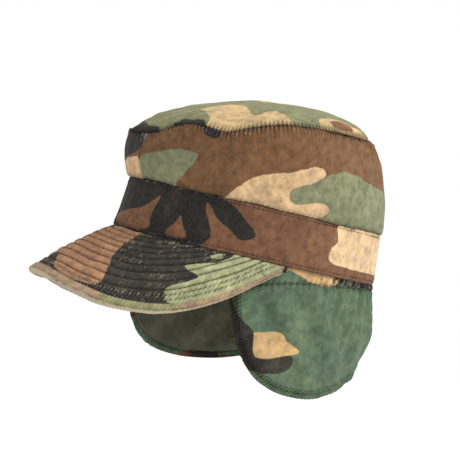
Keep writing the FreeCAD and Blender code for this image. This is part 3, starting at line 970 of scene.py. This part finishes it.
def layRow(place, us, vs, flip=1.0):
    # Spots along a line on a piece of cloth, one for each stitch, with their direction and outward normal.
    path = place(us, vs)
    length = np.concatenate([[0], np.cumsum(np.linalg.norm(np.diff(path, axis=0), axis=-1))])
    steps = np.arange(thread["pitch"] * 0.5, length[-1], thread["pitch"])
    u = np.interp(steps, length, us)
    v = np.interp(steps, length, vs)
    spots = place(u, v)
    further, nearer = [place(np.interp(steps + shift, length, us), np.interp(steps + shift, length, vs))
                       for shift in (0.0006, -0.0006)]
    ahead = unit(further - nearer, 1e-9)
    out = normalsOf(place, u, v, 0.5, 0.01) * flip
    out = out - ahead * np.sum(out * ahead, axis=-1)[:, None]
    return spots, ahead, unit(out, 1e-9)


def joinRows(rows):
    return [np.concatenate(parts) for parts in zip(*rows)]


around = np.linspace(0, 360, 1441)
tall = seamHeight(around) - bandTop
spots, ahead, out = layRow(sidePlace, around, 1 - 0.0012 / tall)
across = np.cross(out, ahead)
crownSeamStitches = stitchRow("crownSeamStitches", spots, across, out, threadFinish, long=0.9, thick=1.1)
bandRows = [layRow(lambda u, v: bandPlace(u, v * bandTop), around, np.full(around.shape, row / bandTop))
            for row in band["rows"]]
bandStitches = stitchRow("bandStitches", *joinRows(bandRows), threadFinish)
seamRows = []
for middleAngle in (0.0, 180.0):
    for shift in (-2.25, 2.25):
        vs = np.linspace(0.02, 0.9, 80)
        seamRows.append(layRow(sidePlace, np.full(80, middleAngle + shift), vs, -1.0))
crownHalfSeamStitches = stitchRow("crownHalfSeamStitches", *joinRows(seamRows), threadFinish)

visorRows = []
distances = [visor["firstRow"] + k * visor["rowSpacing"] for k in range(visor["rows"])]
turnLine = np.linspace(-86, 86, 900)
for distance in distances + list(visor["edgeRows"]):
    perShare = rimDistance(turnLine, np.zeros(turnLine.shape))
    share = 1 - distance / np.maximum(perShare, 1e-6)
    kept = share > 0.02
    if kept.sum() > 12:
        visorRows.append(layRow(visorTopPlace, turnLine[kept], share[kept], -1.0))
visorRows = [(spots, ahead, facingUp(out)) for spots, ahead, out in visorRows]
visorStitches = stitchRow("visorStitches", *joinRows(visorRows), threadFinish)

hemStitches = {}
for name, (first, last) in panels.items():
    kept = (hemAngles >= first - 0.01) & (hemAngles <= last + 0.01)
    line = hemLine[kept]
    step = unit(np.gradient(line, axis=0))
    rows = []
    for distance in skirt["hemRows"]:
        inner = line + np.stack([step[:, 1], -step[:, 0]], -1) * distance
        angles = inner[:, 0] / skirtArc
        inside = (angles > first + 0.2) & (angles < last - 0.2) & (inner[:, 1] > 0.002)
        share = skirtShare(np.clip(angles, first, last), inner[:, 1])
        inside = inside & (share < 0.995)
        if inside.sum() > 6:
            rows.append(layRow(skirtPlace, angles[inside], share[inside]))
    angles = np.linspace(first + 0.3, last - 0.3, 300)
    rows.append(layRow(skirtPlace, angles, skirtShare(angles, casingDepth(angles))))
    fixed = []
    for spots, ahead, out in rows:
        outward = spots * np.array([1.0, 1.0, 0.0])
        sign = np.where(np.sum(out * outward, axis=-1) < 0, -1.0, 1.0)
        fixed.append((spots, ahead, out * sign[:, None]))
    hemStitches[name] = stitchRow(titleOf(name) + "Stitches", *joinRows(fixed), threadFinish)
print("stitches ready")


# Inner rings: casing and sweatband, seen from underneath.
def ringPiece(name, first, last, low, high, inset, finish, thickness, columns=240, rows=10):
    def place(angle, height):
        base = bandPoint(angle, np.clip(height, 0, 1))
        base[..., 2] = height
        shift = inset + 0.0004 * crumple(base, 0.018, 401)
        return base - levelOut(base) * shift[..., None]
    us = np.linspace(first, last, columns + 1)
    piece, u, v, points = gridPiece(name, us, np.linspace(low, high, rows), place)
    putUv(piece, u * arcScale, v)
    finishCloth(piece, thickness, finish, weld=last - first > 359.9)
    return piece


def insetOf(node):
    low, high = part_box(node)
    return halfWidth - high[0], low[2], high[2]


inset, low, high = insetOf("flap_casing")
flapCasing = ringPiece("flapCasing", skirtStart, skirtEnd, low, high, inset + 0.0002, flannelFinish,
                       skirt["lining"])
inset, low, high = insetOf("sweatband")
sweatLining = ringPiece("sweatLining", 0.0, 360.0, low, high, inset + 0.0002, sweatFinish, 0.0011, 360, 14)
print("inside ready")


# A few loose threads where the visor's corner is sewn in.
def threadPlace(start, bend, end):
    def place(turn, share):
        part = share[..., None]
        centre = start * (1 - part) ** 2 + bend * 2 * part * (1 - part) + end * part ** 2
        along = unit((bend - start) * (1 - part) + (end - bend) * part)
        side = unit(np.cross(along, (0.0, 0.0, 1.0)), 1e-6)
        upward = np.cross(side, along)
        rad = np.radians(turn)[..., None]
        wide = thread["loose"] * np.sqrt(np.clip(1.02 - (2 * part - 1) ** 8, 0, 1))
        return centre + (side * np.cos(rad) + upward * np.sin(rad)) * wide
    return place


corner = visorEnds(np.array([86.0]))[1][0]
strands = (
    ((0, 0, 0.001), (0.004, -0.003, 0.001), (0.003, -0.009, -0.004)),
    ((0, 0.002, 0), (0.004, 0.005, 0.001), (0.002, 0.009, -0.005)),
    ((0, -0.004, 0.001), (0.005, -0.006, 0.003), (0.003, -0.010, 0.004)),
    ((0, 0.001, 0), (0.003, 0.001, -0.004), (0.0035, 0.004, -0.008)),
)
threads = []
for number, strand in enumerate(strands):
    ends = [corner + np.array(point) + np.array((0.001, 0.0, 0.0)) for point in strand]
    piece, u, v, points = gridPiece("looseThread" + str(number), np.linspace(0, 360, 7),
                                    np.linspace(0, 1, 12), threadPlace(*ends))
    piece.data.materials.append(threadFinish)
    threads.append(piece)
deselect()
for piece in threads:
    piece.select_set(True)
bpy.context.view_layer.objects.active = threads[0]
bpy.ops.object.join()
looseThreads = bpy.context.object
looseThreads.name = "looseThreads"
bpy.ops.object.mode_set(mode="EDIT")
bpy.ops.mesh.select_all(action="SELECT")
bpy.ops.mesh.remove_doubles(threshold=0.00001)
bpy.ops.mesh.select_all(action="DESELECT")
bpy.ops.mesh.select_mode(type="EDGE")
bpy.ops.mesh.select_non_manifold()
bpy.ops.mesh.edge_face_add()
bpy.ops.mesh.select_all(action="SELECT")
bpy.ops.mesh.normals_make_consistent(inside=False)
bpy.ops.object.mode_set(mode="OBJECT")
bpy.ops.object.shade_smooth_by_angle(angle=math.radians(60))
deselect()
print("loose threads ready")

# What each piece stands for and what it is made of. All of these ride on the cap.
standsFor = (
    (crownTop, ("crown_top",), "camouflage_twill"),
    (sideCrownLeft, ("side_crown_left",), "camouflage_twill"),
    (sideCrownRight, ("side_crown_right",), "camouflage_twill"),
    (crownSeamTape, ("crown_seam_tape",), "seam_tape"),
    (crownSeamStitches, ("crown_seam_thread",), "thread"),
    (crownHalfSeamStitches, (), "thread"),
    (outerBand, ("outer_band",), "camouflage_twill"),
    (bandStitches, ("band_upper_thread", "band_lower_thread"), "thread"),
    (visorTop, ("visor_top_cloth",), "camouflage_twill"),
    (visorUnder, ("visor_under_cloth",), "camouflage_twill"),
    (visorBoard, ("visor_board",), "visor_stiffener"),
    (visorBinding, ("visor_edge_binding",), "camouflage_twill"),
    (visorStitches, ("visor_quilting_thread",), "thread"),
    (flapCasing, ("flap_casing", "casing_thread"), "flannel"),
    (sweatLining, ("sweatband",), "sweatband_cotton"),
    (looseThreads, (), "thread"),
)
for piece, nodes, slotName in standsFor:
    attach(piece, "cap")
    if nodes:
        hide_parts(*nodes)
for name, (cloth, lining) in panelPieces.items():
    flap = name + "_flap"
    for piece, nodes, slotName in ((cloth, (flap + "_cloth",), "camouflage_twill"),
                                   (lining, (flap + "_lining",), "flannel"),
                                   (hemStitches[name], (), "thread")):
        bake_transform(piece)
        if nodes:
            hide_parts(*nodes)
cadFinishes = {"band_interlining": canvasFinish, "size_label": labelFinish, "nape_elastic": elasticFinish}
for node, finish in cadFinishes.items():
    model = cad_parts[node]
    model.data.materials.clear()
    model.data.materials.append(finish)

# Estimated cut of each ply, fitted to the modelled piece: width and length, then flat area.
panelCuts = {"ear": ((0.079, 0.091), 0.0069, (0.075, 0.085), 0.0058),
             "quarter": ((0.085, 0.090), 0.0073, (0.076, 0.084), 0.0062),
             "nape": ((0.112, 0.072), 0.0077, (0.098, 0.069), 0.0065)}
for name, (cloth, lining) in panelPieces.items():
    outer, outerArea, inner, innerArea = panelCuts[name.split("_")[0]]

# Stage: pale floor, white surroundings, soft light, and the camera.
deselect()
bpy.ops.mesh.primitive_plane_add(size=12.0, location=(0, 0, -0.30))
floor = bpy.context.object
floor.name = "floor"
paper, tree, shader = startMaterial("pale_paper")
place = addNode(tree, "ShaderNodeTexCoord").outputs["Object"]
tone = mixColour(tree, noiseNode(tree, place, 3.0), (0.985, 0.985, 0.985, 1), (1.0, 1.0, 1.0, 1))
tree.links.new(tone, shader.inputs["Base Color"])
shader.inputs["Roughness"].default_value = 0.9
floor.data.materials.append(paper)

world = bpy.data.worlds.new("surroundings")
bpy.context.scene.world = world
world.use_nodes = True
world.node_tree.nodes["Background"].inputs[0].default_value = (1.0, 1.0, 1.0, 1.0)
world.node_tree.nodes["Background"].inputs[1].default_value = 1.0


def lookAt(thing, place, target, upward=(0, 0, 1)):
    back = (Vector(place) - Vector(target)).normalized()
    right = Vector(upward).cross(back).normalized()
    up = back.cross(right)
    thing.matrix_world = Matrix.Translation(place) @ Matrix((right, up, back)).transposed().to_4x4()


for name, place, size, power in (("key", (1.0, 1.0, 1.5), 0.6, 42.0), ("fill", (0.9, -1.5, 0.9), 1.2, 6.0)):
    bpy.ops.object.light_add(type="AREA")
    lamp = bpy.context.object
    lamp.name = name
    lamp.data.shape = "DISK"
    lamp.data.size = size
    lamp.data.energy = power
    lookAt(lamp, place, (0, 0, 0.03))

azimuth, elevation, roll = (math.radians(camera[key]) for key in ("azimuth", "elevation", "roll"))
level = math.cos(elevation)
back = Vector((math.sin(azimuth) * level, -math.cos(azimuth) * level, math.sin(elevation)))
right = Vector((math.cos(azimuth), math.sin(azimuth), 0))
up = back.cross(right)
turnedRight = right * math.cos(roll) + up * math.sin(roll)
turnedUp = up * math.cos(roll) - right * math.sin(roll)
target = Vector(camera["target"])
eye = target + back * camera["distance"]
aim = target - turnedRight * camera["aside"] - turnedUp * camera["below"]
bpy.ops.object.camera_add()
viewer = bpy.context.object
viewer.name = "viewer"
viewer.data.lens = camera["lens"]
viewer.data.sensor_width = 36.0
viewer.data.clip_start = 0.05
lookAt(viewer, eye, aim, turnedUp)
bpy.context.scene.camera = viewer
bpy.context.scene.view_settings.view_transform = "Standard"
